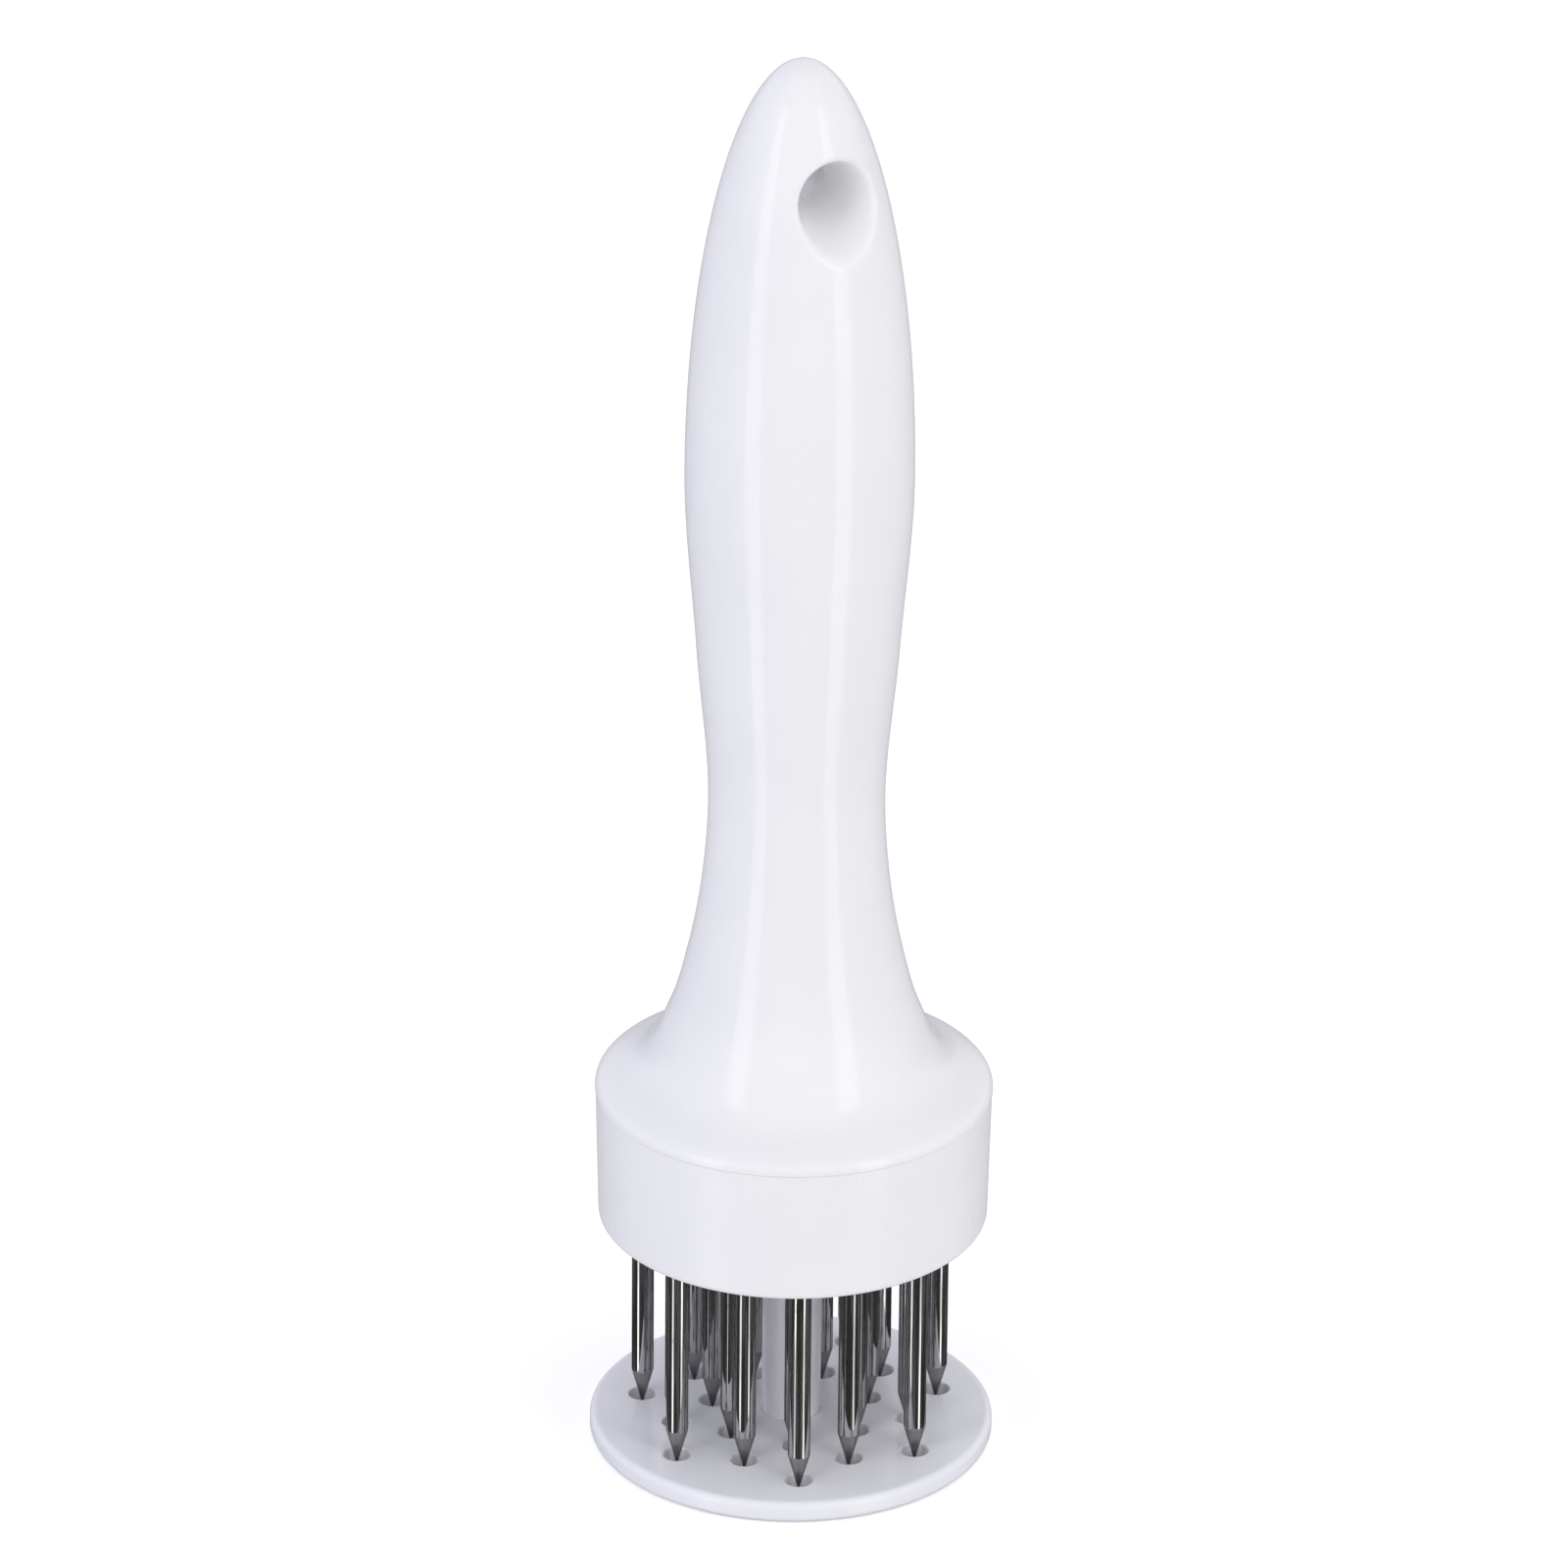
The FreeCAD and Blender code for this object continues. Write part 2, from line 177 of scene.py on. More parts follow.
def finishPiece(bm, name, body, slot, material, nodes, crease=32.0):
    bmesh.ops.remove_doubles(bm, verts=bm.verts[:], dist=mergeDistance)
    bmesh.ops.recalc_face_normals(bm, faces=bm.faces[:])
    for face in bm.faces:
        face.smooth = True
    for edge in bm.edges:
        edge.smooth = edge.smooth and (not edge.is_manifold or edge.calc_face_angle(0) < math.radians(crease))
    bmesh.ops.scale(bm, vec=(metresPerUnit,) * 3, verts=bm.verts[:])
    mesh = bpy.data.meshes.new(name)
    bm.to_mesh(mesh)
    bm.free()
    mesh.materials.append(material)
    piece = bpy.data.objects.new(name, mesh)
    bpy.context.scene.collection.objects.link(piece)
    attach(piece, body)
    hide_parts(*nodes)
    return piece


def turnedPiece(name, outline, segments, rounding, **where):
    bm = bmesh.new()
    spinOutline(bm, outline, segments)
    softenEdges(bm, rounding, 2)
    finishPiece(bm, name, **where)


# Plastics and steels.

plasticLook = {
    "white": (0.86, 0.86, 0.86), "shade": (0.84, 0.84, 0.845), "mottleScale": 45.0,
    "mottleSpan": (0.35, 0.7), "waveScale": 160.0, "waveDepth": 0.00002, "grainScale": 2600.0,
    "grainDepth": 0.000003, "drawScale": 900.0, "drawStretch": (1, 1, 0.03), "drawSpan": (0.35, 0.75),
    "roughnessSpread": 0.08, "bend": 1.35}


def makePlastic(name, look, roughness):
    finish = newFinish(name)
    mottle = finish.noise(look["mottleScale"], detail=4.0, roughness=0.6)
    draw = finish.noise(look["drawScale"], detail=3.0, stretch=look["drawStretch"])
    wave = finish.noise(look["waveScale"], detail=2.0)
    grain = finish.noise(look["grainScale"], detail=1.0)
    shape = wave * look["waveDepth"] + grain * look["grainDepth"]
    return finish.surface({
        "Base Color": finish.blend(mottle.between(*look["mottleSpan"]), look["white"], look["shade"]),
        "Roughness": draw.between(*look["drawSpan"]) * look["roughnessSpread"] + roughness,
        "Normal": finish.bump(shape),
        "IOR": look["bend"],
    })


steelLook = {
    "shank": (0.47, 0.47, 0.47), "ground": (0.30, 0.30, 0.30), "stain": (0.25, 0.25, 0.25),
    "coneTop": 6.9, "coneBlend": 0.15, "shankRoughness": 0.05, "coneRoughness": 0.30, "edge": (0.3, 0.3, 0.3),
    "drawScale": 2500.0, "drawStretch": (1, 1, 0.02), "grooveSpan": (0.45, 0.65), "grooves": 0.25,
    "ringScale": 5200.0, "ringStretch": (0.05, 0.05, 1), "ringDepth": 0.0000012,
    "speckScale": 1400.0, "speckStretch": (1, 1, 0.3), "speckSpan": (0.62, 0.72)}


def makeNeedleSteel():
    look = steelLook
    finish = newFinish("needleSteelFinish")
    coneTop, coneBlend = look["coneTop"], look["coneBlend"]
    cone = 1.0 - finish.height().between(coneTop - coneBlend, coneTop + coneBlend)
    draw = finish.noise(look["drawScale"], detail=3.0, stretch=look["drawStretch"])
    rings = finish.noise(look["ringScale"], detail=2.0, stretch=look["ringStretch"])
    speck = finish.noise(look["speckScale"], detail=5.0, roughness=0.7, stretch=look["speckStretch"])
    grooves = draw.between(*look["grooveSpan"])
    bright = finish.blend(grooves, look["shank"], look["stain"])
    metal = finish.blend(cone, bright, look["ground"])
    worn = finish.blend(speck.between(*look["speckSpan"]), metal, look["stain"])
    return finish.surface({
        "Base Color": worn,
        "Metallic": 1.0 - grooves * look["grooves"],
        "Roughness": cone * look["coneRoughness"] + look["shankRoughness"],
        "Specular Tint": colour(look["edge"]),
        "Normal": finish.bump(rings * look["ringDepth"] + draw * look["ringDepth"]),
    })


plainSteelLook = {
    "cloudScale": 220.0, "cloudSpan": (0.3, 0.7), "lineScale": 3800.0, "lineStretch": (1, 0.05, 1),
    "lineDepth": 0.0000015, "roughnessSpread": 0.12}


def makePlainSteel(name, bright, dark, roughness):
    look = plainSteelLook
    finish = newFinish(name)
    cloud = finish.noise(look["cloudScale"], detail=4.0)
    lines = finish.noise(look["lineScale"], detail=2.0, stretch=look["lineStretch"])
    return finish.surface({
        "Base Color": finish.blend(cloud.between(*look["cloudSpan"]), bright, dark),
        "Metallic": 1.0,
        "Roughness": lines * look["roughnessSpread"] + roughness,
        "Normal": finish.bump(lines, look["lineDepth"]),
    })


# The plate's look is the plastic with a lavender tint: painted shade, standing in for the bluish shade that falls
# on the plate and the guide post under the carrier.
plateShadeTintLook = dict(plasticLook, white=(0.85, 0.85, 0.88), shade=(0.83, 0.83, 0.865))
bushLook = dict(plasticLook, white=(0.78, 0.77, 0.72), shade=(0.74, 0.73, 0.68))

finishes = {
    "handle": makePlastic("handlePlasticFinish", plasticLook, roughness=0.10),
    "carrier": makePlastic("carrierPlasticFinish", plasticLook, roughness=0.20),
    "plate": makePlastic("platePlasticShadeTintFinish", plateShadeTintLook, roughness=0.16),
    "bush": makePlastic("bushPlasticFinish", bushLook, roughness=0.32),
    "needle": makeNeedleSteel(),
    "screw": makePlainSteel("screwSteelFinish", (0.56, 0.56, 0.57), (0.47, 0.47, 0.48), 0.22),
    "disc": makePlainSteel("discSteelFinish", (0.60, 0.60, 0.61), (0.52, 0.52, 0.53), 0.30),
    "spring": makePlainSteel("springSteelFinish", (0.50, 0.49, 0.48), (0.40, 0.39, 0.38), 0.26),
}
print("finishes made:", len(finishes))

# The handle is one moulding. Its sweep is given as radius and height above the joint with the carrier.
handle = {
    "segments": 128, "rimRadius": 26.7, "rimWall": 0.2, "lipRounding": 1.6, "lipAngle": 60.0, "joint": 52.0,
    "sweep": [(20.9, 4.2), (16.95, 11.4), (14.3, 20.8), (11.8, 40.2), (13.45, 65.0), (15.1, 89.8)],
    "bellyRadius": 15.1, "bellyLevel": 141.8, "top": 200.0, "domeSteps": 72, "sweepSteps": 12, "lipSteps": 8,
    "bossRadius": 23.7, "bossBottom": 42.2, "boreRadius": 8.4, "boreTop": 127.9,
    "screwHoleRadius": 1.3, "screwHoleDepth": 7.05, "boreSegments": 64, "screwHoleSides": 20}

# The hanging hole opens towards both sides. Its shares place the rows of faces from the dome to the waist.
hangingHole = {
    "level": 183.6, "waist": 2.9, "halfLand": 0.5, "flare": 28.0, "flareMargin": 0.5, "startAngle": 8.0,
    "edgeRounding": 0.8, "halfColumns": 17, "columnMargin": 0.1, "firstRow": 26, "lastRow": 48, "rowMargin": 1.0,
    "halvings": 40, "settleRounds": 8, "settleStep": 0.001, "settleShare": 0.6,
    "outerShares": (0.72, 0.5, 0.34, 0.23, 0.15, 0.09, 0.04, 0.0),
    "innerShares": (0.02, 0.045, 0.075, 0.11, 0.16, 0.23, 0.33, 0.46, 0.62, 0.8, 1.0)}


def handleSweep():
    joint = handle["joint"]
    lipCentre = (handle["rimRadius"] - handle["lipRounding"], joint + handle["rimWall"])
    lip = quarterRound(lipCentre, handle["lipRounding"], 0.0, handle["lipAngle"], handle["lipSteps"])
    turn = math.radians(handle["lipAngle"])
    points = section([lip[-1]] + [(radius, joint + height) for radius, height in handle["sweep"]])
    strides = [after - before for before, after in zip(points, points[1:])]
    ways = [Vector((-math.sin(turn), 0.0, math.cos(turn)))]
    for before, after in zip(strides, strides[1:]):
        ratio = after.length / before.length
        ways.append((before * ratio + after / ratio).normalized())
    ways.append(Vector((0.0, 0.0, 1.0)))
    outline = [(handle["rimRadius"], joint)] + lip
    for i, stride in enumerate(strides):
        reach = stride.length / 3.0
        leave, arrive = points[i] + ways[i] * reach, points[i + 1] - ways[i + 1] * reach
        stretch = interpolate_bezier(points[i], leave, arrive, points[i + 1], handle["sweepSteps"] + 1)
        outline += [(point.x, point.z) for point in stretch[1:]]
    return outline


def domeRadius(height):
    rise = (height - handle["bellyLevel"]) / (handle["top"] - handle["bellyLevel"])
    return handle["bellyRadius"] * math.sqrt(max(0.0, 1.0 - rise * rise))


def domeLevel(step):
    rise = math.sin(math.radians(90.0 * step / handle["domeSteps"]))
    return handle["bellyLevel"] + (handle["top"] - handle["bellyLevel"]) * rise


def flareShape(depth):                         # the hole's radius and slope, that far from the handle's axis
    flare, start = hangingHole["flare"], math.radians(hangingHole["startAngle"])
    if depth < hangingHole["halfLand"]:
        return hangingHole["waist"], 0.0
    past = min(depth - hangingHole["halfLand"] + flare * math.sin(start), flare - hangingHole["flareMargin"])
    inward = math.sqrt(flare ** 2 - past * past)
    return hangingHole["waist"] + flare * math.cos(start) - inward, past / inward


def domeDepth(x, height):
    return math.sqrt(max(0.0, domeRadius(height) ** 2 - x * x))


def onDome(angle, distance):
    x, height = distance * math.cos(angle), hangingHole["level"] + distance * math.sin(angle)
    return x, domeDepth(x, height), height


def mouthDistance(angle, reach):               # where the flare meets the dome, seen along the hole
    low, high = hangingHole["waist"], reach
    for _ in range(hangingHole["halvings"]):
        middle = (low + high) / 2.0
        if middle < flareShape(onDome(angle, middle)[1])[0]:
            low = middle
        else:
            high = middle
    return low


def mouthSurface(point):                       # below 0 inside the plastic, rounded where dome and flare meet
    spanR, spanZ = handle["bellyRadius"], handle["top"] - handle["bellyLevel"]
    across, rise = math.hypot(point.x, point.y), point.z - handle["bellyLevel"]
    level = math.hypot(across / spanR, rise / spanZ)
    slope = math.hypot(across / spanR ** 2, rise / spanZ ** 2) / level
    dome = (level - 1.0) / slope
    reach, lean = flareShape(abs(point.y))
    hole = (reach - math.hypot(point.x, point.z - hangingHole["level"])) / math.hypot(1.0, lean)
    rounding = hangingHole["edgeRounding"]
    outside = math.hypot(max(dome + rounding, 0.0), max(hole + rounding, 0.0))
    return outside + min(-rounding, max(dome, hole))


def settleOnMouth(vert):
    step = hangingHole["settleStep"]
    for _ in range(hangingHole["settleRounds"]):
        here = mouthSurface(vert.co)
        slope = Vector([mouthSurface(vert.co + axis * step) - here for axis in Matrix.Identity(3)]) / step
        vert.co -= slope * (here / slope.length_squared)


def openMouth(bm, side):
    column = math.radians(360.0 / handle["segments"])
    half = column * (hangingHole["halfColumns"] + hangingHole["columnMargin"])
    low, high = domeLevel(hangingHole["firstRow"]), domeLevel(hangingHole["lastRow"])
    patch = []
    for face in bm.faces:
        centre = face.calc_center_median()
        turned = abs(math.atan2(centre.x, centre.y * side))
        if turned < half and low < centre.z < high:
            patch.append(face)
    bmesh.ops.delete(bm, geom=patch, context="FACES")
    lowest = low - hangingHole["rowMargin"]
    ring = [e for e in bm.edges if e.is_boundary and e.verts[0].co.y * side > 0 and e.verts[0].co.z > lowest]
    spokes = {}                                # a vertex's angle, reach and distance to the mouth, by its place
    for vert in {v for edge in ring for v in edge.verts}:
        angle = math.atan2(vert.co.z - hangingHole["level"], vert.co.x)
        reach = math.hypot(vert.co.x, vert.co.z - hangingHole["level"])
        spokes[tuple(vert.co)] = (angle, reach, mouthDistance(angle, reach))
    steps = [("dome", share) for share in hangingHole["outerShares"]]
    steps += [("flare", share) for share in hangingHole["innerShares"]]
    rounded = []
    for kind, share in steps:
        made = bmesh.ops.extrude_edge_only(bm, edges=ring)["geom"]
        verts = [item for item in made if isinstance(item, bmesh.types.BMVert)]
        ring = [item for item in made if isinstance(item, bmesh.types.BMEdge) and item.is_boundary]
        for vert in verts:
            angle, reach, mouth = spoke = spokes[tuple(vert.co)]
            if kind == "dome":
                x, depth, height = onDome(angle, mouth + (reach - mouth) * share)
            else:
                start = onDome(angle, mouth)[1]
                depth = start + (hangingHole["halfLand"] - start) * share
                around = flareShape(depth)[0]
                x, height = around * math.cos(angle), hangingHole["level"] + around * math.sin(angle)
            vert.co = (x, side * depth, height)
            spokes[tuple(vert.co)] = spoke
        if share < hangingHole["settleShare"]:
            rounded += verts
    for vert in rounded:
        settleOnMouth(vert)
    return ring


def onWaist(vert):                             # on a rim of the hole's narrow waist, which keeps a crisp edge
    aside = abs(abs(vert.co.y) - hangingHole["halfLand"])
    reach = math.hypot(vert.co.x, vert.co.z - hangingHole["level"])
    return aside <= levelTolerance and reach <= hangingHole["waist"] + levelTolerance


def makeHandle():
    bm = bmesh.new()
    rim = [(handle["bossRadius"], handle["bossBottom"]), (handle["bossRadius"], handle["joint"])]
    dome = [(domeRadius(domeLevel(step)), domeLevel(step)) for step in range(1, handle["domeSteps"])]
    spinOutline(bm, rim + handleSweep() + dome + [(0.0, handle["top"])], handle["segments"])
    front, back = openMouth(bm, -1), openMouth(bm, 1)
    bmesh.ops.bridge_loops(bm, edges=front + back)
    bottom, radius, boreTop = handle["bossBottom"], handle["boreRadius"], handle["boreTop"]
    spinOutline(bm, [(radius, bottom), (radius, boreTop), (0.0, boreTop)], handle["boreSegments"])
    for edge in bm.edges:
        edge.smooth = not all(onWaist(vert) for vert in edge.verts)
    radius, depth, sides = handle["screwHoleRadius"], handle["screwHoleDepth"], handle["screwHoleSides"]
    for place in carrierScrewPlaces:
        sinkPocket(bm, place, radius, bottom, depth, sides)
    fillLevel(bm, bottom)
    finishPiece(bm, "handleShell", "handle_body", "handle_plastic", finishes["handle"], ["handle"])


# Needles and carrier screws stand on rings: a radius, and a turn from the front in steps of the ring.
ringSteps, frontAngle = 7, -90.0
needleRingSizes = {"outer": (20.5, 0.5), "middle": (16.2, 0.0), "inner": (10.8, 0.5)}
screwRingSize, screwSteps = (21.1, 0.0), (0, 2, 5)


def ringPlaces(radius, offset):
    angles = [math.radians(frontAngle + (step + offset) * 360.0 / ringSteps) for step in range(ringSteps)]
    return [(radius * math.cos(angle), radius * math.sin(angle)) for angle in angles]


needleRings = {ringName: ringPlaces(*size) for ringName, size in needleRingSizes.items()}
needlePlaces = [place for places in needleRings.values() for place in places]
carrierScrewPlaces = [ringPlaces(*screwRingSize)[step] for step in screwSteps]

makeHandle()
print("handle made")

# The needle carrier is a cup: the straight band under the shoulder, and a floor that holds the needles.
carrier = {
    "bottom": 33.2, "bottomRadius": 26.2, "topRadius": 26.6, "joint": 52.0, "rounding": 0.8, "chamfer": 0.25,
    "cupRadius": 23.8, "floorTop": 40.2, "needleHole": 1.55, "headSeat": 39.0, "headHole": 2.3,
    "screwHole": 1.35, "screwRecess": 2.5, "recessTop": 35.2, "bushHole": 6.05, "edge": 0.15, "flatRing": 0.15,
    "supportRise": 0.4, "supportOut": 0.01, "segments": 144, "roundingSteps": 8, "bushSegments": 48,
    "needleSegments": 24, "screwSegments": 32}


def makeCarrier():
    size, bm = carrier, bmesh.new()
    low, floor, edge = size["bottom"], size["floorTop"], size["edge"]
    corner = (size["bottomRadius"] - size["rounding"], low + size["rounding"])
    wall = [(corner[0] - size["flatRing"], low)]
    wall += quarterRound(corner, size["rounding"], -90.0, 0.0, size["roundingSteps"])
    wall += [(size["bottomRadius"] + size["supportOut"], corner[1] + size["supportRise"])]
    wall += [(size["topRadius"], size["joint"] - size["chamfer"])]
    wall += [(size["topRadius"] - size["chamfer"], size["joint"])]
    wall += [(size["cupRadius"], size["joint"]), (size["cupRadius"], floor)]
    spinOutline(bm, wall, size["segments"])
    spinOutline(bm, [(size["bushHole"], low), (size["bushHole"], floor)], size["bushSegments"])
    hole, seat, head = size["needleHole"], size["headSeat"], size["headHole"]
    steps = [(hole + edge, low), (hole, low + edge), (hole, seat), (head, seat), (head, floor)]
    for place in needlePlaces:
        spinOutline(bm, steps, size["needleSegments"], place)
    recess, seat, hole = size["screwRecess"], size["recessTop"], size["screwHole"]
    steps = [(recess + edge, low), (recess, low + edge), (recess, seat), (hole, seat), (hole, floor)]
    for place in carrierScrewPlaces:
        spinOutline(bm, steps, size["screwSegments"], place)
    fillLevel(bm, low)
    fillLevel(bm, floor)
    finishPiece(
        bm, "needleCarrierBand", "handle_body", "carrier_plastic", finishes["carrier"], ["needle_carrier"])


makeCarrier()
print("needle carrier made")

# The press plate has a rounded rim, an eased hole for each needle and a recess for the post.
plate = {
    "radius": 27.3, "thickness": 3.0, "rimFlat": 1.0, "needleHole": 1.85, "edge": 0.22, "postRecess": 4.05,
    "recessBottom": 2.0, "screwHole": 1.6, "countersink": 3.2, "rimRing": 0.2, "holeRing": 0.08,
    "segments": 160, "rimSteps": 10, "edgeSteps": 4, "holeSegments": 32, "middleSegments": 48}


def makePressPlate():
    size, bm = plate, bmesh.new()
    top, edge = size["thickness"], size["edge"]
    rounding = (top - size["rimFlat"]) / 2.0
    inner = size["radius"] - rounding
    rim = [(inner - size["rimRing"], top)]
    rim += quarterRound((inner, top - rounding), rounding, 90.0, 0.0, size["rimSteps"])
    rim += quarterRound((inner, rounding), rounding, 0.0, -90.0, size["rimSteps"])
    spinOutline(bm, rim + [(inner - size["rimRing"], 0.0)], size["segments"])
    mouth = size["needleHole"] + edge
    wall = [(mouth + size["holeRing"], top)]
    wall += quarterRound((mouth, top - edge), edge, 90.0, 180.0, size["edgeSteps"])
    wall += quarterRound((mouth, edge), edge, 180.0, 270.0, size["edgeSteps"])
    wall += [(mouth + size["holeRing"], 0.0)]
    for place in needlePlaces:
        spinOutline(bm, wall, size["holeSegments"], place)
    post, floor, screw = size["postRecess"], size["recessBottom"], size["screwHole"]
    middle = [(post, top), (post, floor), (screw, floor)]
    middle += [(screw, size["countersink"] - screw), (size["countersink"], 0.0)]
    spinOutline(bm, middle, size["middleSegments"])
    fillLevel(bm, top)
    fillLevel(bm, 0.0)
    finishPiece(bm, "pressPlateDisc", "plunger", "plate_plastic", finishes["plate"], ["press_plate"])


makePressPlate()
print("press plate made")

# A needle is a round bar with a ground cone and a flat head, which sits in the carrier's floor.
needle = {
    "tip": 1.9, "tipFlat": 0.15, "coneTop": 6.9, "radius": 1.5, "head": 39.0, "headRadius": 2.2, "top": 40.2,
    "support": 0.25, "softening": 0.05, "softenFrom": 12.0, "crease": 50.0, "segments": 36}


def makeNeedle(name, place):                   # rings near both ends of the shank keep its shading straight
    size, bm = needle, bmesh.new()
    cone, head, support = size["coneTop"], size["head"], size["support"]
    outline = [(0.0, size["tip"]), (size["tipFlat"], size["tip"])]
    outline += [(size["radius"], height) for height in (cone, cone + support, head - support, head)]
    outline += [(size["headRadius"], head), (size["headRadius"], size["top"]), (0.0, size["top"])]
    spinOutline(bm, outline, size["segments"])
    softenEdges(bm, size["softening"], 2, size["softenFrom"])
    bmesh.ops.translate(bm, verts=bm.verts[:], vec=(*place, 0.0))
    finishPiece(
        bm, "needleSteel_" + name, "handle_body", "needle_steel", finishes["needle"], ["needle_" + name],
        crease=size["crease"])


for ringName, places in needleRings.items():
    for number, place in enumerate(places, start=1):
        makeNeedle("%s_%d" % (ringName, number), place)
print("needles made:", len(needlePlaces))

# Turned pieces: the outline as radius and height, then the body, slot, finish and CAD node.
turnedSegments, turnedRounding = 64, 0.06
turnedParts = {
    "guidePostRod": (
        [(0.0, 16.05), (1.55, 16.05), (1.55, 2.0), (4.0, 2.0), (4.0, 44.0), (2.5, 44.0), (2.5, 47.0), (1.3, 47.0),
         (1.3, 34.95), (0.0, 34.95)],
        "plunger", "plate_plastic", "plate", "guide_post"),
    "guideBushSleeve": (
        [(4.06, 33.2), (6.0, 33.2), (6.0, 42.2), (7.9, 42.2), (7.9, 43.7), (4.06, 43.7), (4.06, 33.2)],
        "handle_body", "bush_plastic", "bush", "guide_bush"),
    "stopCollarRing": (
        [(2.55, 44.0), (7.6, 44.0), (7.6, 47.0), (2.55, 47.0), (2.55, 44.0)],
        "plunger", "bush_plastic", "bush", "stop_collar"),
    "springSeatWasher": (
        [(3.0, 126.4), (8.1, 126.4), (8.1, 127.9), (3.0, 127.9), (3.0, 126.4)],
        "handle_body", "plate_steel", "disc", "spring_seat"),
}

for name, (outline, body, slot, finish, node) in turnedParts.items():
    turnedPiece(
        name, outline, turnedSegments, turnedRounding,
        body=body, slot=slot, material=finishes[finish], nodes=[node])
print("turned pieces made:", len(turnedParts))

# The backing plate lies over the needle heads, so that they can't be pushed up.
backing = {
    "radius": 23.7, "bottom": 40.2, "top": 42.2, "bushHole": 6.05, "screwHole": 1.35, "segments": 128,
    "bushSegments": 48, "screwSegments": 24}


def makeBackingPlate():
    size, bm = backing, bmesh.new()
    low, high = size["bottom"], size["top"]
    spinOutline(bm, [(size["radius"], low), (size["radius"], high)], size["segments"])
    spinOutline(bm, [(size["bushHole"], low), (size["bushHole"], high)], size["bushSegments"])
    for place in carrierScrewPlaces:
        spinOutline(bm, [(size["screwHole"], low), (size["screwHole"], high)], size["screwSegments"], place)
    fillLevel(bm, low)
    fillLevel(bm, high)
    finishPiece(
        bm, "needleBackingDisc", "handle_body", "plate_steel", finishes["disc"], ["needle_backing_plate"])


makeBackingPlate()
print("backing plate made")

# A pan-head screw is given from the face of its head to its end, so that it can point up or down.
screwKinds = {
    "carrierScrew": {"head": 2.4, "headFrom": 33.6, "headTo": 35.2, "shank": 1.25, "end": 49.2, "socket": 0.94},
    "collarScrew": {"head": 3.8, "headFrom": 49.0, "headTo": 47.0, "shank": 1.25, "end": 35.0, "socket": 0.94},
}
screwForm = {
    "rounding": 0.35, "roundingSteps": 4, "point": 0.3, "segments": 32, "socketDepth": 0.9, "socketSides": 6}
plateScrew = {
    "face": 0.1, "head": 3.0, "rimTop": 0.16, "neck": 1.6, "shank": 1.5, "point": 0.3, "end": 16.0,
    "socket": 1.125, "segments": 40}


def screwMesh(bm, size, at=(0.0, 0.0)):
    way = 1.0 if size["headTo"] > size["headFrom"] else -1.0
    face, back, shank, end = size["headFrom"], size["headTo"], size["shank"], size["end"]
    rounding, point = screwForm["rounding"], screwForm["point"]
    rim = quarterRound((0.0, 0.0), rounding, -90.0, 0.0, screwForm["roundingSteps"])
    outline = [(size["head"] - rounding + x, face + way * (rounding + z)) for x, z in rim]
    outline += [(size["head"], back), (shank, back), (shank, end - way * point), (shank - point, end), (0.0, end)]
    spinOutline(bm, outline, screwForm["segments"], at)
    sinkPocket(bm, at, size["socket"], face, way * screwForm["socketDepth"], screwForm["socketSides"])


def makeCarrierScrews():
    bm, size = bmesh.new(), screwKinds["carrierScrew"]
    for place in carrierScrewPlaces:
        screw = bmesh.new()
        screwMesh(screw, size, place)
        fillLevel(screw, size["headFrom"])
        mesh = bpy.data.meshes.new("screwPart")
        screw.to_mesh(mesh)
        screw.free()
        bm.from_mesh(mesh)
        bpy.data.meshes.remove(mesh)
    finishPiece(bm, "carrierScrewSet", "handle_body", "screw_steel", finishes["screw"], ["carrier_screws"])


def makeCollarScrew():
    bm, size = bmesh.new(), screwKinds["collarScrew"]
    screwMesh(bm, size)
    fillLevel(bm, size["headFrom"])
    finishPiece(bm, "collarScrewBolt", "plunger", "screw_steel", finishes["screw"], ["collar_screw"])


def makePlateScrew():
    size, bm = plateScrew, bmesh.new()
    face, head, shank, end = size["face"], size["head"], size["shank"], size["end"]
    outline = [(head, face), (head, size["rimTop"]), (shank, size["neck"]), (shank, end - size["point"])]
    outline += [(shank - size["point"], end), (0.0, end)]
    spinOutline(bm, outline, size["segments"])
    sinkPocket(bm, (0.0, 0.0), size["socket"], face, screwForm["socketDepth"], screwForm["socketSides"])
    fillLevel(bm, face)
    finishPiece(bm, "plateScrewBolt", "plunger", "screw_steel", finishes["screw"], ["plate_screw"])


makeCarrierScrews()
makeCollarScrew()
makePlateScrew()
print("screws made")

# The return spring is one coil in the handle's bore, built at rest; nothing here squashes it towards its seat as
# the plate moves up.
spring = {
    "meanRadius": 6.3, "wireRadius": 0.5, "start": 47.55, "climb": 4.89375, "turns": 16, "stepsPerTurn": 28,
    "top": 126.4, "length": 79.4, "travel": 29.5, "wireSides": 12}


def makeSpring():
    size, bm = spring, bmesh.new()
    radius, sides = size["meanRadius"], size["wireSides"]
    lean = math.atan(size["climb"] / (2 * math.pi * radius))
    place = Matrix.Translation((radius, 0.0, size["start"])) @ Matrix.Rotation(math.pi / 2 + lean, 4, "X")
    ring = bmesh.ops.create_circle(bm, segments=sides, radius=size["wireRadius"], matrix=place)
    edges = list({edge for vert in ring["verts"] for edge in vert.link_edges})
    bmesh.ops.spin(
        bm, geom=ring["verts"] + edges, cent=(0, 0, 0), axis=(0, 0, 1),
        dvec=(0, 0, size["climb"] / size["stepsPerTurn"]), angle=2 * math.pi * size["turns"],
        steps=size["turns"] * size["stepsPerTurn"], use_merge=False)
    bmesh.ops.holes_fill(bm, edges=[edge for edge in bm.edges if edge.is_boundary], sides=sides)
    piece = finishPiece(
        bm, "returnSpringCoil", "handle_body", "spring_steel", finishes["spring"], ["return_spring"])
    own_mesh(piece)


makeSpring()
print("spring made")

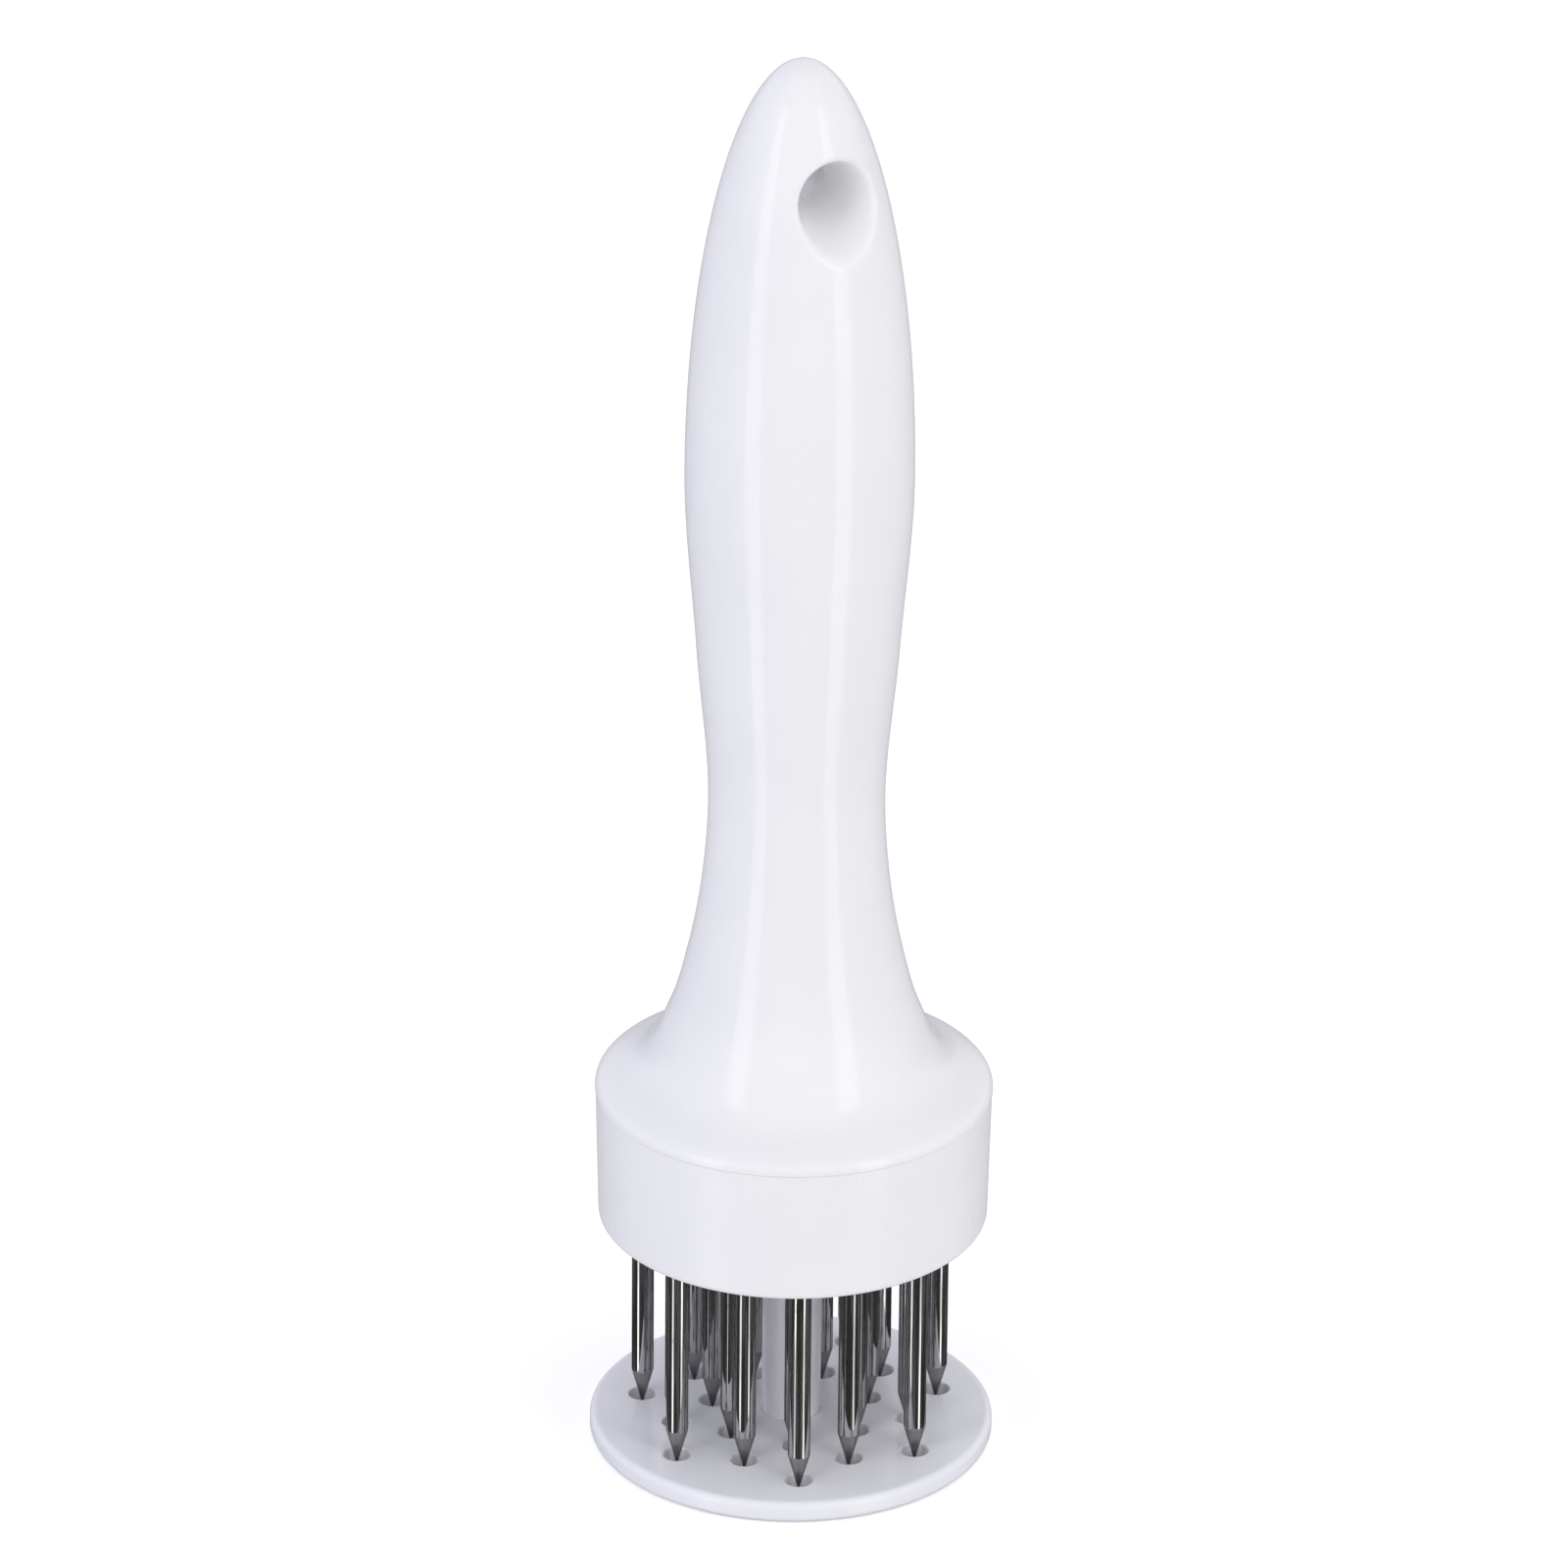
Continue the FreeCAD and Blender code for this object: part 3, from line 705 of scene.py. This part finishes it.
# Floor, light and camera, in metres. The floor and the sky show white to the camera and less to the object.
stageLook = {
    "floorRadius": 4.0, "floorDrop": 0.0001, "floorSegments": 64, "floor": (0.86, 0.86, 0.88),
    "floorRoughness": 0.9, "glow": 0.36}


def seenDirectly(finish):                      # 1 for rays from the camera, also past a clear surface
    camera = finish.add("LightPath", output="Is Camera Ray")
    return camera.most(finish.add("LightPath", output="Is Transmission Ray"))


floorMesh = bpy.data.meshes.new("studioFloor")
bm = bmesh.new()
bmesh.ops.create_circle(
    bm, cap_ends=True, segments=stageLook["floorSegments"], radius=stageLook["floorRadius"],
    matrix=Matrix.Translation((0, 0, -stageLook["floorDrop"])))
bm.to_mesh(floorMesh)
bm.free()
studioFloor = bpy.data.objects.new("studioFloor", floorMesh)
bpy.context.scene.collection.objects.link(studioFloor)
studioFloor.visible_glossy = False

floorFinish = newFinish("studioFloorFinish")
glow = (stageLook["glow"],) * 3
floorMesh.materials.append(floorFinish.surface({
    "Base Color": colour(stageLook["floor"]),
    "Roughness": stageLook["floorRoughness"],
    "Specular IOR Level": 0.0,
    "Emission Color": floorFinish.blend(seenDirectly(floorFinish), (0.0, 0.0, 0.0), glow),
    "Emission Strength": 1.0,
}))

view = {
    "azimuth": -28.9, "elevation": 25.34, "roll": 0.52, "distance": 1.545, "aimHeight": 0.103,
    "focal": 268.4, "sensor": 36.0, "nearest": 0.05, "farthest": 50.0, "aside": 0.001692, "below": 0.005672}


def backVector(azimuth, elevation):
    a, e = math.radians(azimuth), math.radians(elevation)
    return Vector((math.sin(a) * math.cos(e), -math.cos(a) * math.cos(e), math.sin(e)))


# Front, back and sides are seen from the camera. Mirrored rays get the sky above and a little from behind.
worldLook = {
    "back": (0.69, 0.69, 0.81), "front": (0.89, 0.89, 0.81), "brightSide": 30.0, "brightHeight": -40.0,
    "left": (0.93, 0.93, 1.15), "right": (1.06, 1.06, 1.13), "acrossSpan": (-0.3, 0.3), "sideSpan": (0.15, 0.9),
    "mirrorSpan": (-0.12, 0.25), "behindSpan": (0.5, 0.9), "mirrorBehind": 0.36, "dusk": 0.05}
bpy.context.scene.world = bpy.data.worlds.new("studioWorld")
sky = Finish(bpy.context.scene.world)
ray = sky.add("TexCoord", output="Generated")


def towards(azimuth, elevation):               # how far a ray points that way, the azimuth from the camera's
    way = backVector(view["azimuth"] + azimuth, elevation)
    return sky.add("VectorMath", {"operation": "DOT_PRODUCT"}, {0: ray, 1: way}, output="Value")


facing = towards(worldLook["brightSide"], worldLook["brightHeight"])
behind, across = towards(180.0, 0.0), towards(90.0, 0.0)
upward = sky.add("SeparateXYZ", inputs={"Vector": ray}, output="Z").between(*worldLook["mirrorSpan"])
lit = upward.most(behind.between(*worldLook["behindSpan"]) * worldLook["mirrorBehind"])
lit = lit.most(worldLook["dusk"])
mirrored = sky.add("CombineColor", inputs={"Red": lit, "Green": lit, "Blue": lit})
around = sky.blend(facing * 0.5 + 0.5, worldLook["back"], worldLook["front"])
sides = sky.blend(across.between(*worldLook["acrossSpan"]), worldLook["left"], worldLook["right"])
ambient = sky.blend((across * across).between(*worldLook["sideSpan"]), around, sides)
indirect = sky.blend(sky.add("LightPath", output="Is Glossy Ray"), ambient, mirrored)
shown = sky.blend(seenDirectly(sky), indirect, (1.0, 1.0, 1.0))
backdrop = sky.add("Background", inputs={"Color": shown, "Strength": 1.0})
sky.add("OutputWorld", inputs={"Surface": backdrop})

stripForm = {"distance": 1.6, "level": 0.1, "height": 2.6, "tint": (1.0, 1.0, 0.96)}
strips = {
    "leftStrip": {"azimuth": -48.0, "width": 0.46, "power": 9.2},
    "rightStrip": {"azimuth": 45.0, "width": 0.50, "power": 9.8},
}

for name, size in strips.items():
    lamp = bpy.data.lights.new(name, "AREA")
    lamp.shape, lamp.size, lamp.size_y = "RECTANGLE", size["width"], stripForm["height"]
    lamp.energy, lamp.color = size["power"], stripForm["tint"]
    light = bpy.data.objects.new(name, lamp)
    outward = backVector(view["azimuth"] + size["azimuth"], 0.0)
    light.location = Vector((0, 0, stripForm["level"])) + outward * stripForm["distance"]
    light.rotation_euler = outward.to_track_quat("Z", "Y").to_euler()
    bpy.context.scene.collection.objects.link(light)

back = backVector(view["azimuth"], view["elevation"])
right = Vector((0, 0, 1)).cross(back).normalized()
up = back.cross(right)
eye = Vector((0, 0, view["aimHeight"])) + back * view["distance"]
aim = Vector((0, 0, view["aimHeight"])) - right * view["aside"] - up * view["below"]
look = (eye - aim).normalized()
side = Vector((0, 0, 1)).cross(look).normalized()
rise = look.cross(side)
turn = Matrix((side, rise, look)).transposed().to_4x4() @ Matrix.Rotation(math.radians(view["roll"]), 4, "Z")
lens = bpy.data.cameras.new("studioCamera")
lens.lens, lens.sensor_width = view["focal"], view["sensor"]
lens.clip_start, lens.clip_end = view["nearest"], view["farthest"]
studioCamera = bpy.data.objects.new("studioCamera", lens)
studioCamera.matrix_world = Matrix.Translation(eye) @ turn
bpy.context.scene.collection.objects.link(studioCamera)
bpy.context.scene.camera = studioCamera
bpy.context.scene.view_settings.view_transform = "Standard"
print("studio made")
